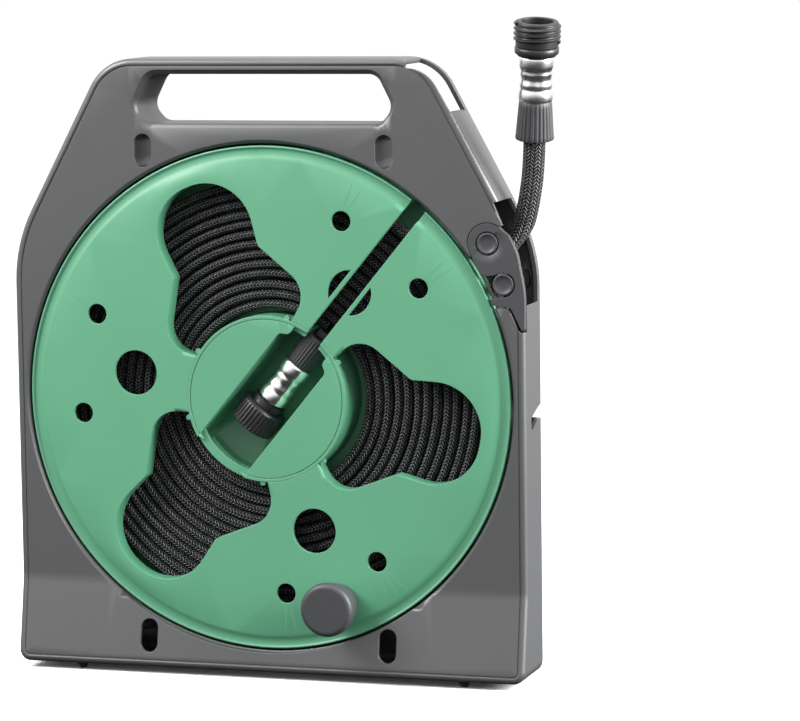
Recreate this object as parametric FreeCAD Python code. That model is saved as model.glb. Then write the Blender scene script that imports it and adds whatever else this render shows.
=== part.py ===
import FreeCAD, Part
import math
import os

# A slim cassette hose reel: a two-shell housing with a carrying handle, a flanged
# reel that turns inside it, a crank knob, a swinging hose gate and a flat hose.
#
# Every piece is drawn about the reel's axis, where x is right, y is back from the
# front flange's face and z is up. save() then moves it into the part's frame, whose
# origin is on the floor under the middle of the housing. Sizes are millimetres.

# housing
housing_width = 312.0
housing_height = 357.0
housing_depth = 38.0
wall = 2.5
axis_above_base = 160.0
shoulder_above_base = 248.0
top_width = 195.0
base_corner_radius = 7.0
shoulder_radius = 90.0
top_corner_radius = 30.0
front_edge_radius = 3.0
rear_edge_radius = 6.0
rear_shell_depth = 9.8
panel_set_back = 0.8
flare_depth = 9.0
flare_height = 50.0
flare_blend_radius = 30.0
groove_set_in = 3.8
groove_width = 0.8
groove_depth = 0.5

# carrying handle hole, measured from the top of the housing
handle_bar_height = 9.0
handle_hole_height = 28.5
handle_hole_width = 158.0
handle_slant = 0.5
handle_bevel = 2.6

# wall-fixing slots
slot_width = 10.8
slot_length = 19.6
slot_across = 147.0
slot_upper_above_axis = 143.7
slot_lower_below_axis = 141.5

# feet
foot_height = 4.0
foot_radius = 4.0
foot_tip_radius = 1.6
foot_across = 236.0
foot_set_in = 9.0
foot_stem_radius = 2.4
foot_stem_length = 5.0

# screws that join the shells
screw_radius = 1.7
screw_head_radius = 3.6
screw_head_height = 2.0
screw_length = 20.0
boss_radius = 4.2
boss_height = 19.0
fit_gap = 0.05

# reel
flange_radius = 147.0
opening_gap = 1.5
opening_bevel = 1.6
opening_collar = 2.0
opening_collar_depth = 6.0
flange_plate = 2.6
flange_rim_depth = 11.3
flange_rim_wall = 2.4
step_inner_radius = flange_radius - 8.4
step_outer_radius = flange_radius - 6.4
step_height = 2.4
bead_width = 1.6
bead_height = 0.9
rear_flange_plate = 2.4

# holes in the flanges
spoke_angle = 50.4
window_end = flange_radius - 16.0
window_end_half = 32.9
window_lobe_radius = 28.3
window_waist_at = (84.7, 28.0)
window_waist_radius = 4.0
window_corner_beyond_hub = 1.6
window_corner_half = 47.9
window_corner_radius = 16.0
window_hub_half_angle = 40.0
window_rim = 2.2
medium_hole_radius = 13.2
medium_hole_at = 81.5
small_hole_radius = 5.9
small_hole_at = 114.3
small_hole_half_angle = 15.1
hose_slot_width = 10.6
slot_rib = 2.3
slot_rib_depth = 3.2

# hub
hub_radius = 48.5
hub_gap = 0.12
hub_wall = 2.2
hub_cap_plate = 2.6
cap_line_set_in = 1.7
hub_floor_plate = 2.2
channel_width = 36.0
channel_mouth_width = 26.0
channel_floor_depth = 29.2
channel_end_depth = 18.0
lip_start = 35.5
lip_radius = 3.0
latch_tab_radius = 1.6
latch_tab_half_angle = 23.6
latch_tab_stand = 0.8

# axle
stub_radius = 9.0
bush_wall = 2.0
bush_flange = 2.4
bush_flange_plate = 0.9
cup_radius = 15.5
cup_wall = 2.5
cup_floor = 2.4
axle_washer_radius = 14.0
axle_washer_plate = 1.0
axle_screw_radius = 2.4
axle_screw_head_radius = 4.4
axle_screw_head_height = 1.0
running_gap = 0.05
side_gap = 0.35

# crank knob
knob_at = 125.5
knob_radius = 15.6
knob_base_radius = 11.0
knob_reach = 28.0
knob_edge_radius = 3.0
knob_foot_gap = 0.8
knob_pin_radius = 3.0
knob_pin_head_radius = 5.0
knob_pin_head_height = 2.2
knob_clip_radius = 4.7
knob_clip_plate = 0.8
knob_front_wall = 5.0
knob_boss_radius = 7.5

# hose gate and the two pins beside the hose exit
gate_plate = 4.0
gate_head_radius = 11.6
gate_pin_at = (housing_width / 2 - 21.8, 92.2)
latch_pin_at = (housing_width / 2 - 12.7, 68.9)
pin_shaft_radius = 4.0
pin_head_radius = 6.2
pin_head_plate = 2.0
head_recess_radius = 6.9
latch_clearance = 1.0
gate_gap = 0.5
roller_radius = 5.3
roller_length = 20.0
roller_front = 10.0
socket_radius = 6.5
socket_height = 4.0

# hose
hose_flat_width = 18.5
hose_flat_thickness = 5.6
hose_round_diameter = 12.6
winding_inner_radius = 50.2
winding_outer_radius = 132.0
hose_clear = 1.2

# route of the free hose end, from between the rollers to its collar; it is flat as
# far as the third point and round from there on
free_hose_route = [
    (138.4, 21.6, 79.0),
    (142.2, 21.5, 87.0),
    (147.0, 21.0, 94.0),
    (151.5, 19.6, 104.0),
    (155.0, 17.4, 117.0),
    (158.0, 15.5, 134.0),
    (159.4, 12.5, 151.0),
]

free_hose_flat_runs = 2
free_hose_flat_width = 14.2

# corner of the flat run of hose between the winding and the free end
hose_run_knee = (132.9, 66.3)

# end fitting on the free hose
end_collar_length = 22.5
end_collar_radii = (11.0, 9.3)
ferrule_length = 26.0
ferrule_radius = 9.7
fitting_flange_radius = 12.5
fitting_flange_length = 5.6
thread_radius = 13.4
thread_length = 14.0
water_bore = 6.5

# inner fitting in the hub
inner_axis_depth = 14.6
nut_radius = 14.0
nut_length = 15.0
nut_start = -22.0
nut_rib_depth = 0.6
nut_bore = 12.6
nut_thread_depth = 6.2
nut_relief = 12.8
nut_socket_depth = 9.0
inner_ring_radius = 10.2
inner_ring_length = 4.2
inner_ferrule_length = 27.5
inner_ferrule_radius = 9.3
inner_collar_length = 20.0
inner_collar_radii = (8.0, 9.2)
stem_radius = 7.5

# places that follow from the sizes above
base_z = -axis_above_base
top_z = base_z + housing_height
shoulder_z = base_z + shoulder_above_base
panel_y = panel_set_back
back_y = panel_y + housing_depth
split_y = back_y - rear_shell_depth
opening_radius = flange_radius + opening_gap
winding_front_y = flange_rim_depth + hose_clear
winding_back_y = winding_front_y + hose_flat_width
rear_flange_y = winding_back_y + 0.4
hub_floor_y = channel_floor_depth
hub_back_y = hub_floor_y + hub_floor_plate
cup_back_y = back_y - wall
cup_floor_y = cup_back_y - cup_floor
gate_back_y = panel_y + gate_plate
face_y = (knob_reach - panel_set_back - housing_depth) / 2
frame_shift = FreeCAD.Vector(0, face_y, foot_height + axis_above_base)


def vec(x, y, z):
    return FreeCAD.Vector(x, y, z)


def polar(radius, angle):
    return radius * math.cos(math.radians(angle)), radius * math.sin(math.radians(angle))


def unit(vector):
    return FreeCAD.Vector(vector) / vector.Length


def rounded_wire(corners, place):
    """Closed wire through (a, b, radius) corners; place(a, b) gives each 3-D point."""
    points = [place(a, b) for a, b, _ in corners]
    ends = []
    for i, (_, _, radius) in enumerate(corners):
        here = points[i]
        before = unit(points[i - 1] - here)
        after = unit(points[(i + 1) % len(points)] - here)
        half = math.acos(max(-1.0, min(1.0, before.dot(after)))) / 2
        if radius <= 0:
            ends.append((here, here, None))
            continue
        reach = radius / math.tan(half)
        centre = here + unit(before + after) * (radius / math.sin(half))
        middle = centre + unit(here - centre) * radius
        ends.append((here + before * reach, here + after * reach, middle))
    edges = []
    for i, (start, end, middle) in enumerate(ends):
        if middle is not None:
            edges.append(Part.Arc(start, middle, end).toShape())
        following = ends[(i + 1) % len(ends)][0]
        if (following - end).Length > 1e-6:
            edges.append(Part.LineSegment(end, following).toShape())
    return Part.Wire(edges)


def front_wire(corners, y):
    return rounded_wire(corners, lambda a, b: vec(a, y, b))


def prism(corners, y0, y1):
    """A front-view outline of (x, z, radius) corners, as deep as y0 to y1."""
    return Part.Face(front_wire(corners, y0)).extrude(vec(0, y1 - y0, 0))


def side_prism(corners, x0, x1):
    """A side-view outline of (y, z, radius) corners, from x0 to x1."""
    wire = rounded_wire(corners, lambda a, b: vec(x0, a, b))
    return Part.Face(wire).extrude(vec(x1 - x0, 0, 0))


def inset(corners, distance):
    """The outline moved in by a distance; its corners run anticlockwise in (a, b)."""
    moved = []
    for i, (a, b, radius) in enumerate(corners):
        pa, pb, _ = corners[i - 1]
        na, nb, _ = corners[(i + 1) % len(corners)]
        before = math.hypot(a - pa, b - pb)
        after = math.hypot(na - a, nb - b)
        in1 = (-(b - pb) / before, (a - pa) / before)
        in2 = (-(nb - b) / after, (na - a) / after)
        share = distance / (1 + in1[0] * in2[0] + in1[1] * in2[1])
        moved.append((a + (in1[0] + in2[0]) * share, b + (in1[1] + in2[1]) * share,
                      max(radius - distance, 0.6) if radius > 0 else 0))
    return moved


def cylinder(radius, y0, y1, x=0.0, z=0.0):
    return Part.makeCylinder(radius, y1 - y0, vec(x, y0, z), vec(0, 1, 0))


def ring(outer, inner, y0, y1, x=0.0, z=0.0):
    return cylinder(outer, y0, y1, x, z).cut(cylinder(inner, y0 - 1, y1 + 1, x, z))


def turned(profile, base, direction):
    """A solid of revolution; profile is (radius, distance along the axis) points."""
    axis = unit(direction)
    side = unit(axis.cross(vec(0.31, 0.17, 0.93)))
    points = [base + side * r + axis * t for r, t in profile]
    face = Part.Face(Part.makePolygon(points + points[:1]))
    return face.revolve(base, axis, 360)


def spun(shape, angle):
    """A copy turned about the reel's axis, anticlockwise as seen from the front."""
    turned_shape = shape.copy()
    turned_shape.rotate(vec(0, 0, 0), vec(0, -1, 0), angle)
    return turned_shape


def bevelled_cutter(corners, face, end, bevel):
    """Cuts an outline right through from face to end, with a bevel at the face."""
    step = math.copysign(bevel, end - face)
    wide = front_wire(inset(corners, -bevel - 0.3), face - step * 0.3 / bevel)
    narrow = front_wire(corners, face + step)
    return prism(corners, face - step * 12, end).fuse(Part.makeLoft([wide, narrow], True, True))


def ribbed(radius, depth, count, base, direction, length, taper=1.0):
    """A cylinder or cone with square ribs, along a direction from a base point."""
    axis = unit(direction)
    side = unit(axis.cross(vec(0.31, 0.17, 0.93)))
    other = axis.cross(side)

    def loop(scale, along):
        points = []
        for i in range(count * 4):
            r = (radius if i % 4 < 2 else radius - depth) * scale
            a = 2 * math.pi * i / (count * 4)
            points.append(base + axis * along + side * (r * math.cos(a)) + other * (r * math.sin(a)))
        return Part.makePolygon(points + points[:1])

    return Part.makeLoft([loop(1.0, 0.0), loop(taper, length)], True, True)


def save(name, shape):
    placed = shape.copy()
    placed.translate(frame_shift)
    if len(placed.Solids) == 1:
        placed = placed.Solids[0]
    if not placed.isValid():
        print("not valid:", name)
    placed.exportStep("parts/" + name + ".step")
    print(f"{name:22s} solids {len(placed.Solids) or 1}  volume {placed.Volume / 1000:9.2f} cm3")


# ---- housing outline and openings, seen from the front ----

def housing_outline():
    half = housing_width / 2
    return [
        (-half, base_z, base_corner_radius),
        (half, base_z, base_corner_radius),
        (half, shoulder_z, shoulder_radius),
        (top_width / 2, top_z, top_corner_radius),
        (-top_width / 2, top_z, top_corner_radius),
        (-half, shoulder_z, shoulder_radius),
    ]


def handle_outline():
    upper = top_z - handle_bar_height
    lower = upper - handle_hole_height
    wide = handle_hole_width / 2
    narrow = wide - handle_slant * (handle_hole_height - 9)
    widest = lower + 9
    return [
        (-wide + 8, lower, 8),
        (wide - 8, lower, 8),
        (wide, widest, 9),
        (narrow, upper, 8),
        (-narrow, upper, 8),
        (-wide, widest, 9),
    ]


def slot_outline(x, z):
    half = slot_width / 2
    end = slot_length / 2
    r = half - 0.01
    return [(x - half, z - end, r), (x + half, z - end, r), (x + half, z + end, r), (x - half, z + end, r)]


def slot_places():
    for x in (-slot_across / 2, slot_across / 2):
        for z in (slot_upper_above_axis, -slot_lower_below_axis):
            yield x, z


side_slope = (housing_width - top_width) / 2 / (top_z - shoulder_z)


def side_x(z):
    """How far out the slanted side of the housing is at a height."""
    return housing_width / 2 - (z - shoulder_z) * side_slope


def window_outline(set_in):
    """The open strip round the top right corner, and how much wider it is inside."""
    start_x = top_width / 2 - 11.5
    under = top_z - 5.6 - set_in
    end_z = top_z - 31.0
    return [
        (start_x, under, 1),
        (side_x(under) - 2.2 - set_in, under, 20),
        (side_x(end_z) - 1.2 - set_in, end_z, 1),
        (side_x(end_z) + 14, end_z + 6.5, 0),
        (top_width / 2 + 20, top_z + 8, 0),
        (start_x + 5.5, top_z + 8, 0),
    ]


def rear_window_outline():
    """The opening in the rear panel behind the corner window."""
    start_x = top_width / 2 - 22.0
    rim = 3.6
    under = top_z - 12.5
    low = top_z - 36.5
    return [
        (start_x, under, 2),
        (side_x(under) - 18.5, under, 6),
        (side_x(low) - 18.5, low, 3),
        (side_x(low) - rim, low, 2),
        (side_x(top_z - rim) - rim, top_z - rim, top_corner_radius - rim - 4),
        (start_x, top_z - rim, 2),
    ]


def exit_outline():
    """The hose exit in the right side: a strip outside the front panel's edge."""
    low, high = 55.8, 115.5
    out = housing_width / 2 + 6
    edge = 3.8
    return [
        (housing_width / 2 - edge - 0.2, low, 1),
        (out, low + 3, 0),
        (out, high + 6, 0),
        (side_x(high) - edge, high, 1),
        (side_x(shoulder_z + 3) - edge - 2.4, shoulder_z + 3, 40),
    ]


def front_region(set_in):
    """Everything in front of the panel's outer face, moved back by a distance."""
    base_y = panel_y - flare_depth + set_in
    slope = flare_depth / flare_height
    below = 20.0
    ahead = panel_y - flare_depth - 30
    return side_prism([
        (ahead, base_z - below, 0),
        (base_y - slope * below, base_z - below, 0),
        (panel_y + set_in, base_z + flare_height, flare_blend_radius),
        (panel_y + set_in, top_z + below, 0),
        (ahead, top_z + below, 0),
    ], -housing_width, housing_width)


def front_face_y(z):
    """The panel's outer face at a height."""
    drop = max(0.0, base_z + flare_height - z)
    return panel_y - flare_depth * drop / flare_height


def perimeter_edges(solid, outline, near):
    """Edges that lie on the outline in front view and pass a test on their middle."""
    boundary = front_wire(outline, 0)
    found = []
    for edge in solid.Edges:
        first, last = edge.ParameterRange
        points = [edge.valueAt(first + (last - first) * share) for share in (0.05, 0.5, 0.95)]
        if all(near(p) and Part.Vertex(vec(p.x, 0, p.z)).distToShape(boundary)[0] < 0.02 for p in points):
            found.append(edge)
    return found


# places of the screws that join the shells, and how each boss is stood
def shell_screw_places():
    side = housing_width / 2 - 14.0
    return [
        (-side, base_z + 13.0), (side, base_z + 13.0),
        (-98.0, base_z + 11.0), (98.0, base_z + 11.0),
        (-side_x(152.0) + 13.0, 152.0), (side_x(152.0) - 13.0, 152.0),
        (-81.0, top_z - 19.0), (81.0, top_z - 19.0),
    ]


def foot_places():
    front = front_face_y(base_z) + foot_set_in
    rear = back_y - foot_set_in
    for x in (-foot_across / 2, foot_across / 2):
        for y in (front, rear):
            yield x, y


def screw(x, z, head_y, radius, head_radius, head_height, length):
    """A pan-head screw driven forwards from the back."""
    shank = cylinder(radius, head_y - length, head_y, x, z)
    head = cylinder(head_radius, head_y, head_y + head_height, x, z)
    return shank.fuse(head).removeSplitter()


def v_notch():
    """The hook-shaped notch in the right side wall, open to the back."""
    return side_prism([
        (13.0, -8.6, 1.0),
        (13.0, -15.6, 1.0),
        (17.0, -15.6, 1.0),
        (27.5, -10.6, 1.2),
        (back_y + 5, -11.6, 0),
        (back_y + 5, -1.6, 0),
        (30.0, -3.2, 1.0),
    ], housing_width / 2 - 9, housing_width / 2 + 9)


def gate_region():
    """What the front panel leaves open for the gate and for the hose behind it."""
    x1, z1 = gate_pin_at
    pocket = prism([
        (x1 - 22.2, 55.2, 0), (x1 + 12.4, 55.2, 4), (x1 + 18.6, 41.6, 1), (housing_width / 2 + 6, 41.6, 0),
        (housing_width / 2 + 6, z1 + 11, 0), (x1 + 8.4, z1 + 10.4, 1), (x1, z1 + 4, 0), (x1 - 10.2, 84.4, 1),
        (x1 - 22.2, 70.0, 0),
    ], panel_y - 6, gate_back_y + 0.4)
    head = cylinder(gate_head_radius + gate_gap, panel_y - 6, gate_back_y + 0.4, x1, z1)
    return pocket.fuse(head)


def sleeves(y0, y1):
    """Walls round the handle hole and the upper slots, as blocks before the holes."""
    blocks = [prism(inset(handle_outline(), -wall), y0, y1)]
    for x, z in slot_places():
        if z > 0:
            blocks.append(prism(inset(slot_outline(x, z), -1.8), y0, y1))
    return blocks


# ---- housing pieces ----

def make_front_shell():
    outline = housing_outline()
    ahead = panel_y - flare_depth - 5
    blank = prism(outline, ahead, split_y).cut(front_region(0))
    edges = perimeter_edges(blank, outline, lambda p: p.y < front_face_y(p.z) + 2.0)
    blank = blank.makeFillet(front_edge_radius, edges)
    cavity = prism(inset(outline, wall), ahead, split_y + 1).cut(front_region(wall))
    shell = blank.cut(cavity)

    added = sleeves(ahead, split_y)
    collar_end = panel_y + opening_collar_depth
    added.append(cylinder(opening_radius + opening_collar, ahead, collar_end))
    for x, z in shell_screw_places():
        added.append(cylinder(boss_radius, ahead, split_y, x, z))
    for x, y in foot_places():
        if y < split_y - foot_radius:
            added.append(Part.makeCylinder(foot_radius, foot_stem_length + 1, vec(x, y, base_z), vec(0, 0, 1)))
    shell = shell.fuse([piece.common(blank) for piece in added])

    groove = prism(inset(outline, groove_set_in), ahead, split_y)
    groove = groove.cut(prism(inset(outline, groove_set_in + groove_width), ahead - 1, split_y + 1))
    cuts = [cylinder(opening_radius, ahead - 5, split_y + 1), groove.common(front_region(groove_depth))]
    cone_y = panel_y - 0.01
    cuts.append(Part.makeCone(opening_radius + opening_bevel * 2, opening_radius, opening_bevel * 2,
                              vec(0, cone_y - opening_bevel, 0), vec(0, 1, 0)))
    cuts.append(bevelled_cutter(handle_outline(), panel_y, split_y + 1, handle_bevel))
    for x, z in slot_places():
        cuts.append(prism(slot_outline(x, z), ahead - 5, split_y + 1))
    cuts.append(prism(window_outline(0), ahead, split_y + 1))
    cuts.append(prism(window_outline(wall + 0.2), panel_y + wall, split_y + 1))
    cuts.append(prism(exit_outline(), ahead, split_y + 1))
    cuts.append(v_notch())
    cuts.append(gate_region())
    for x, z in shell_screw_places():
        cuts.append(cylinder(screw_radius + fit_gap, split_y - boss_height, split_y + 1, x, z))
    for x, y in foot_places():
        cuts.append(Part.makeCylinder(foot_stem_radius + fit_gap, foot_stem_length + 0.5,
                                      vec(x, y, base_z - 1), vec(0, 0, 1)))
    return shell.cut(cuts)


def make_rear_shell():
    outline = housing_outline()
    blank = prism(outline, split_y, back_y)
    edges = perimeter_edges(blank, outline, lambda p: p.y > back_y - 0.1)
    blank = blank.makeFillet(rear_edge_radius, edges)
    inner = inset(outline, wall)
    cavity = prism(inner, split_y - 6, back_y - wall)
    edges = perimeter_edges(cavity, inner, lambda p: p.y > back_y - wall - 0.1)
    cavity = cavity.makeFillet(rear_edge_radius - wall, edges)
    shell = blank.cut(cavity)

    added = sleeves(split_y, back_y)
    for x, z in shell_screw_places():
        added.append(cylinder(boss_radius + 1.0, split_y, back_y, x, z))
    for x, z in (gate_pin_at, latch_pin_at):
        added.append(cylinder(socket_radius, back_y - wall - socket_height, back_y, x, z))
    added.append(cylinder(cup_radius + cup_wall, cup_floor_y, back_y))
    for x, y in foot_places():
        if y > split_y - foot_radius:
            added.append(Part.makeCylinder(foot_radius, foot_stem_length + 1, vec(x, y, base_z), vec(0, 0, 1)))
    shell = shell.fuse([piece.common(blank) for piece in added])

    cuts = [
        cylinder(cup_radius, cup_back_y, back_y + 1),
        cylinder(stub_radius + bush_wall + fit_gap, cup_floor_y - 1, back_y),
        bevelled_cutter(handle_outline(), back_y, split_y - 1, handle_bevel),
        prism(rear_window_outline(), split_y - 1, back_y + 1),
        v_notch(),
    ]
    for x, z in slot_places():
        cuts.append(prism(slot_outline(x, z), split_y - 1, back_y + 1))
    for x, z in shell_screw_places():
        cuts.append(cylinder(screw_radius + 0.2, split_y - 1, back_y + 1, x, z))
        cuts.append(cylinder(screw_head_radius + 0.3, back_y - screw_head_height - 1.0, back_y + 1, x, z))
    for x, z in (gate_pin_at, latch_pin_at):
        cuts.append(cylinder(pin_shaft_radius + fit_gap, back_y - wall - socket_height - 1, back_y - 1.2, x, z))
    for x, y in foot_places():
        cuts.append(Part.makeCylinder(foot_stem_radius + fit_gap, foot_stem_length + 0.5,
                                      vec(x, y, base_z - 1), vec(0, 0, 1)))
    return shell.cut(cuts)


def make_shell_screws():
    head_y = back_y - screw_head_height - 1.0
    screws = [screw(x, z, head_y, screw_radius, screw_head_radius, screw_head_height, screw_length)
              for x, z in shell_screw_places()]
    return Part.makeCompound(screws)


def make_feet():
    feet = []
    for x, y in foot_places():
        profile = [(0, foot_stem_length - 1.2), (foot_stem_radius, foot_stem_length - 1.2),
                   (foot_stem_radius, 0), (foot_radius, 0),
                   (foot_tip_radius, -foot_height), (0, -foot_height)]
        feet.append(turned(profile, vec(x, y, base_z), vec(0, 0, 1)))
    return Part.makeCompound(feet)


# ---- reel pieces ----

def window_corners():
    """One flange window about the +x axis, open to the hub."""
    hx, hz = polar(hub_radius, window_hub_half_angle)
    cx, cz = hub_radius + window_corner_beyond_hub, window_corner_half
    reach = math.hypot(cx - hx, cz - hz)
    inside = (hx - (cx - hx) * 7 / reach, hz - (cz - hz) * 7 / reach)
    wx, wz = window_waist_at
    half = [
        (window_end, window_end_half, window_lobe_radius),
        (wx, wz, window_waist_radius),
        (cx, cz, window_corner_radius),
        (inside[0], inside[1], 0),
    ]
    return [(a, -b, radius) for a, b, radius in reversed(half)] + half


def hose_slot(width, y0, y1, start, end):
    """A straight slot along the first spoke."""
    bar = Part.makeBox(end - start, y1 - y0, width, vec(start, y0, -width / 2))
    return spun(bar, spoke_angle)


def make_front_flange():
    inner = hub_radius + hub_gap
    rim = flange_radius - flange_rim_wall
    bead = flange_radius - bead_width
    plate = flange_plate
    profile = [
        (inner, 0), (step_inner_radius, 0), (step_outer_radius, step_height),
        (bead, step_height), (bead + 0.4, step_height - bead_height),
        (flange_radius - 0.4, step_height - bead_height), (flange_radius, step_height - bead_height + 0.4),
        (flange_radius, flange_rim_depth), (rim, flange_rim_depth), (rim, step_height + plate),
        (step_outer_radius - 1.0, step_height + plate), (step_inner_radius - 1.2, plate), (inner, plate),
    ]
    disc = turned(profile, vec(0, 0, 0), vec(0, 1, 0))
    envelope = cylinder(step_inner_radius, -1, flange_rim_depth)
    ring_under = ring(hub_radius, hub_radius - 5, hub_cap_plate + 0.2, hub_cap_plate + 2.4)
    spoke_feet = ring(hub_radius + 4, hub_radius - 1, hub_cap_plate + 0.2 - 1.5, hub_cap_plate + 2.4)
    spoke_feet = spoke_feet.cut(cylinder(inner, -1, hub_cap_plate + 0.2))
    window_angles = [spoke_angle + 60 + 120 * i for i in range(3)]
    spoke_angles = [spoke_angle + 120 * i for i in range(3)]

    pieces = [ring_under, spoke_feet]
    for angle in window_angles:
        rim_wall = prism(inset(window_corners(), -window_rim), 0, flange_rim_depth)
        pieces.append(spun(rim_wall.common(envelope).cut(cylinder(inner, -1, 60)), angle))
    body = disc.fuse(pieces)
    cuts = []
    for angle in window_angles:
        opening = prism(window_corners(), -1, flange_rim_depth + 2)
        cuts.append(spun(opening.cut(cylinder(inner, -2, 60)), angle))
    for angle in spoke_angles:
        x, z = polar(medium_hole_at, angle)
        cuts.append(cylinder(medium_hole_radius, -1, flange_rim_depth + 1, x, z))
        for side in (-small_hole_half_angle, small_hole_half_angle):
            x, z = polar(small_hole_at, angle + side)
            cuts.append(cylinder(small_hole_radius, -1, flange_rim_depth + 1, x, z))
    body = body.cut(cuts)

    # ribs beside the slot bridge the hole that the slot crosses
    rib_width = hose_slot_width + 2 * slot_rib
    ribs = hose_slot(rib_width, 0, slot_rib_depth, inner + 2, step_inner_radius - 1.5)
    rim_ends = hose_slot(rib_width, step_height, flange_rim_depth, step_outer_radius, flange_radius - 1)
    knob_x, knob_z = polar(knob_at, spoke_angle + 240)
    boss = cylinder(knob_boss_radius, 0.5, flange_rim_depth - 0.3, knob_x, knob_z)
    body = body.fuse([ribs, rim_ends.common(cylinder(flange_radius - 1, -5, 60)), boss])
    back = flange_rim_depth - 0.3
    return body.cut([
        hose_slot(hose_slot_width, -3, flange_rim_depth + 3, hub_radius - 6, flange_radius + 5),
        cylinder(knob_pin_radius + fit_gap, -3, back + 1, knob_x, knob_z),
        cylinder(knob_pin_head_radius + 0.2, back - knob_pin_head_height - 0.1, back + 1, knob_x, knob_z),
    ])


def make_rear_flange():
    inner = hub_radius - hub_wall - 9.0
    back = rear_flange_y + rear_flange_plate
    disc = ring(flange_radius, inner, rear_flange_y, back)
    cuts = []
    for i in range(6):
        x, z = polar(96.0, spoke_angle + 60 * i)
        cuts.append(cylinder(13.0, rear_flange_y - 1, back + 1, x, z))
    for x, z in flange_screw_places():
        cuts.append(cylinder(screw_radius + 0.2, rear_flange_y - 1, back + 1, x, z))
    return disc.cut(cuts)


def flange_screw_places():
    return [polar(hub_radius - hub_wall - 5.0, spoke_angle + 90 + shift) for shift in (-38, 0, 38, 142, 180, 218)]


def channel_corners(grow):
    """The hub channel in front view, along the x axis, before it is spun."""
    half = channel_width / 2 + grow
    return [(-hub_radius - 5, -half, 0), (hub_radius + 5, -half, 0), (hub_radius + 5, half, 0),
            (-hub_radius - 5, half, 0)]


def cap_opening():
    """What the channel cuts from the hub's front plate, with lips at its upper end."""
    half = channel_width / 2
    mouth = channel_mouth_width / 2
    end = hub_radius + 4
    start = -hub_radius - 5
    return [
        (start, -half, 0), (lip_start, -half, lip_radius), (lip_start + 3, -mouth, lip_radius), (end, -mouth, 0),
        (end, mouth, 0), (lip_start + 3, mouth, lip_radius), (lip_start, half, lip_radius), (start, half, 0),
    ]


def make_hub():
    drum = ring(hub_radius, hub_radius - hub_wall, 0, hub_back_y)
    inside = cylinder(hub_radius - 0.5, -1, hub_back_y)
    cap = cylinder(hub_radius, 0, hub_cap_plate).cut(spun(prism(cap_opening(), -1, hub_cap_plate + 1), spoke_angle))
    walls = prism(channel_corners(hub_wall), 0.5, hub_back_y).cut(prism(channel_corners(0), -1, hub_floor_y))
    walls = spun(walls, spoke_angle).common(inside)
    bosses = [cylinder(3.8, hub_cap_plate - 0.5, hub_back_y, x, z) for x, z in flange_screw_places()]
    spider = cylinder(hub_radius, hub_floor_y, hub_back_y)
    stub = cylinder(stub_radius, hub_floor_y, cup_back_y + 0.1)
    tabs = []
    for spoke in range(3):
        for side in (-latch_tab_half_angle, latch_tab_half_angle):
            x, z = polar(hub_radius + latch_tab_stand, spoke_angle + 120 * spoke + side)
            tabs.append(cylinder(latch_tab_radius, 0.4, hub_cap_plate, x, z))
    hub = drum.fuse([cap, walls, spider, stub] + bosses + tabs)
    latch_recess = ring(hub_radius + 2.8, hub_radius - 5.2, hub_cap_plate, hub_cap_plate + 2.6)
    end_half = channel_width / 2
    cap_line = ring(hub_radius - cap_line_set_in, hub_radius - cap_line_set_in - 0.6, -1, 0.4)
    cuts = [
        latch_recess,
        cap_line,
        hose_slot(hose_slot_width, -1, hub_floor_y, hub_radius - 10, hub_radius + 5),
        spun(prism([(-hub_radius - 6, -end_half, 0), (-hub_radius + 4.5, -end_half, 0), (-hub_radius + 4.5, end_half, 0),
                    (-hub_radius - 6, end_half, 0)], -1, channel_end_depth), spoke_angle),
        cylinder(axle_screw_radius + fit_gap, hub_back_y - 1, cup_back_y + 1),
    ]
    for x, z in flange_screw_places():
        cuts.append(cylinder(screw_radius + fit_gap, hub_back_y - 12, hub_back_y + 1, x, z))
    return hub.cut(cuts)


def make_flange_screws():
    head_y = rear_flange_y + rear_flange_plate
    screws = [screw(x, z, head_y, screw_radius, 3.2, 1.2, 11.0) for x, z in flange_screw_places()]
    return Part.makeCompound(screws)


def make_axle_bush():
    front = cup_floor_y - bush_flange_plate
    sleeve = ring(stub_radius + bush_wall, stub_radius + running_gap, front, cup_back_y)
    return sleeve.fuse(ring(stub_radius + bush_wall + bush_flange, stub_radius + running_gap, front, cup_floor_y))


def make_axle_washer():
    front = cup_back_y + side_gap
    return ring(axle_washer_radius, axle_screw_radius + 0.2, front, front + axle_washer_plate)


def make_axle_screw():
    head_y = cup_back_y + side_gap + axle_washer_plate
    return screw(0, 0, head_y, axle_screw_radius, axle_screw_head_radius, axle_screw_head_height,
                 head_y - hub_back_y + 0.5)


def make_knob_pin():
    x, z = polar(knob_at, spoke_angle + 240)
    back = flange_rim_depth - 0.3
    tip = -knob_reach + knob_front_wall + 1.0
    head = cylinder(knob_pin_head_radius, back - knob_pin_head_height, back, x, z)
    shaft = cylinder(knob_pin_radius, tip, back, x, z)
    groove = ring(knob_pin_radius + 1, knob_pin_radius - 0.7, clip_y(), clip_y() + knob_clip_plate, x, z)
    return head.fuse(shaft).cut(groove)


def clip_y():
    return -knob_reach + knob_front_wall + 2.4


def make_knob_clip():
    x, z = polar(knob_at, spoke_angle + 240)
    clip = ring(knob_clip_radius, knob_pin_radius - 0.65, clip_y() + 0.05, clip_y() + knob_clip_plate - 0.05, x, z)
    gap = Part.makeBox(3.4, 4, 12, vec(x - 1.7, clip_y() - 2, z))
    return clip.cut(gap)


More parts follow.
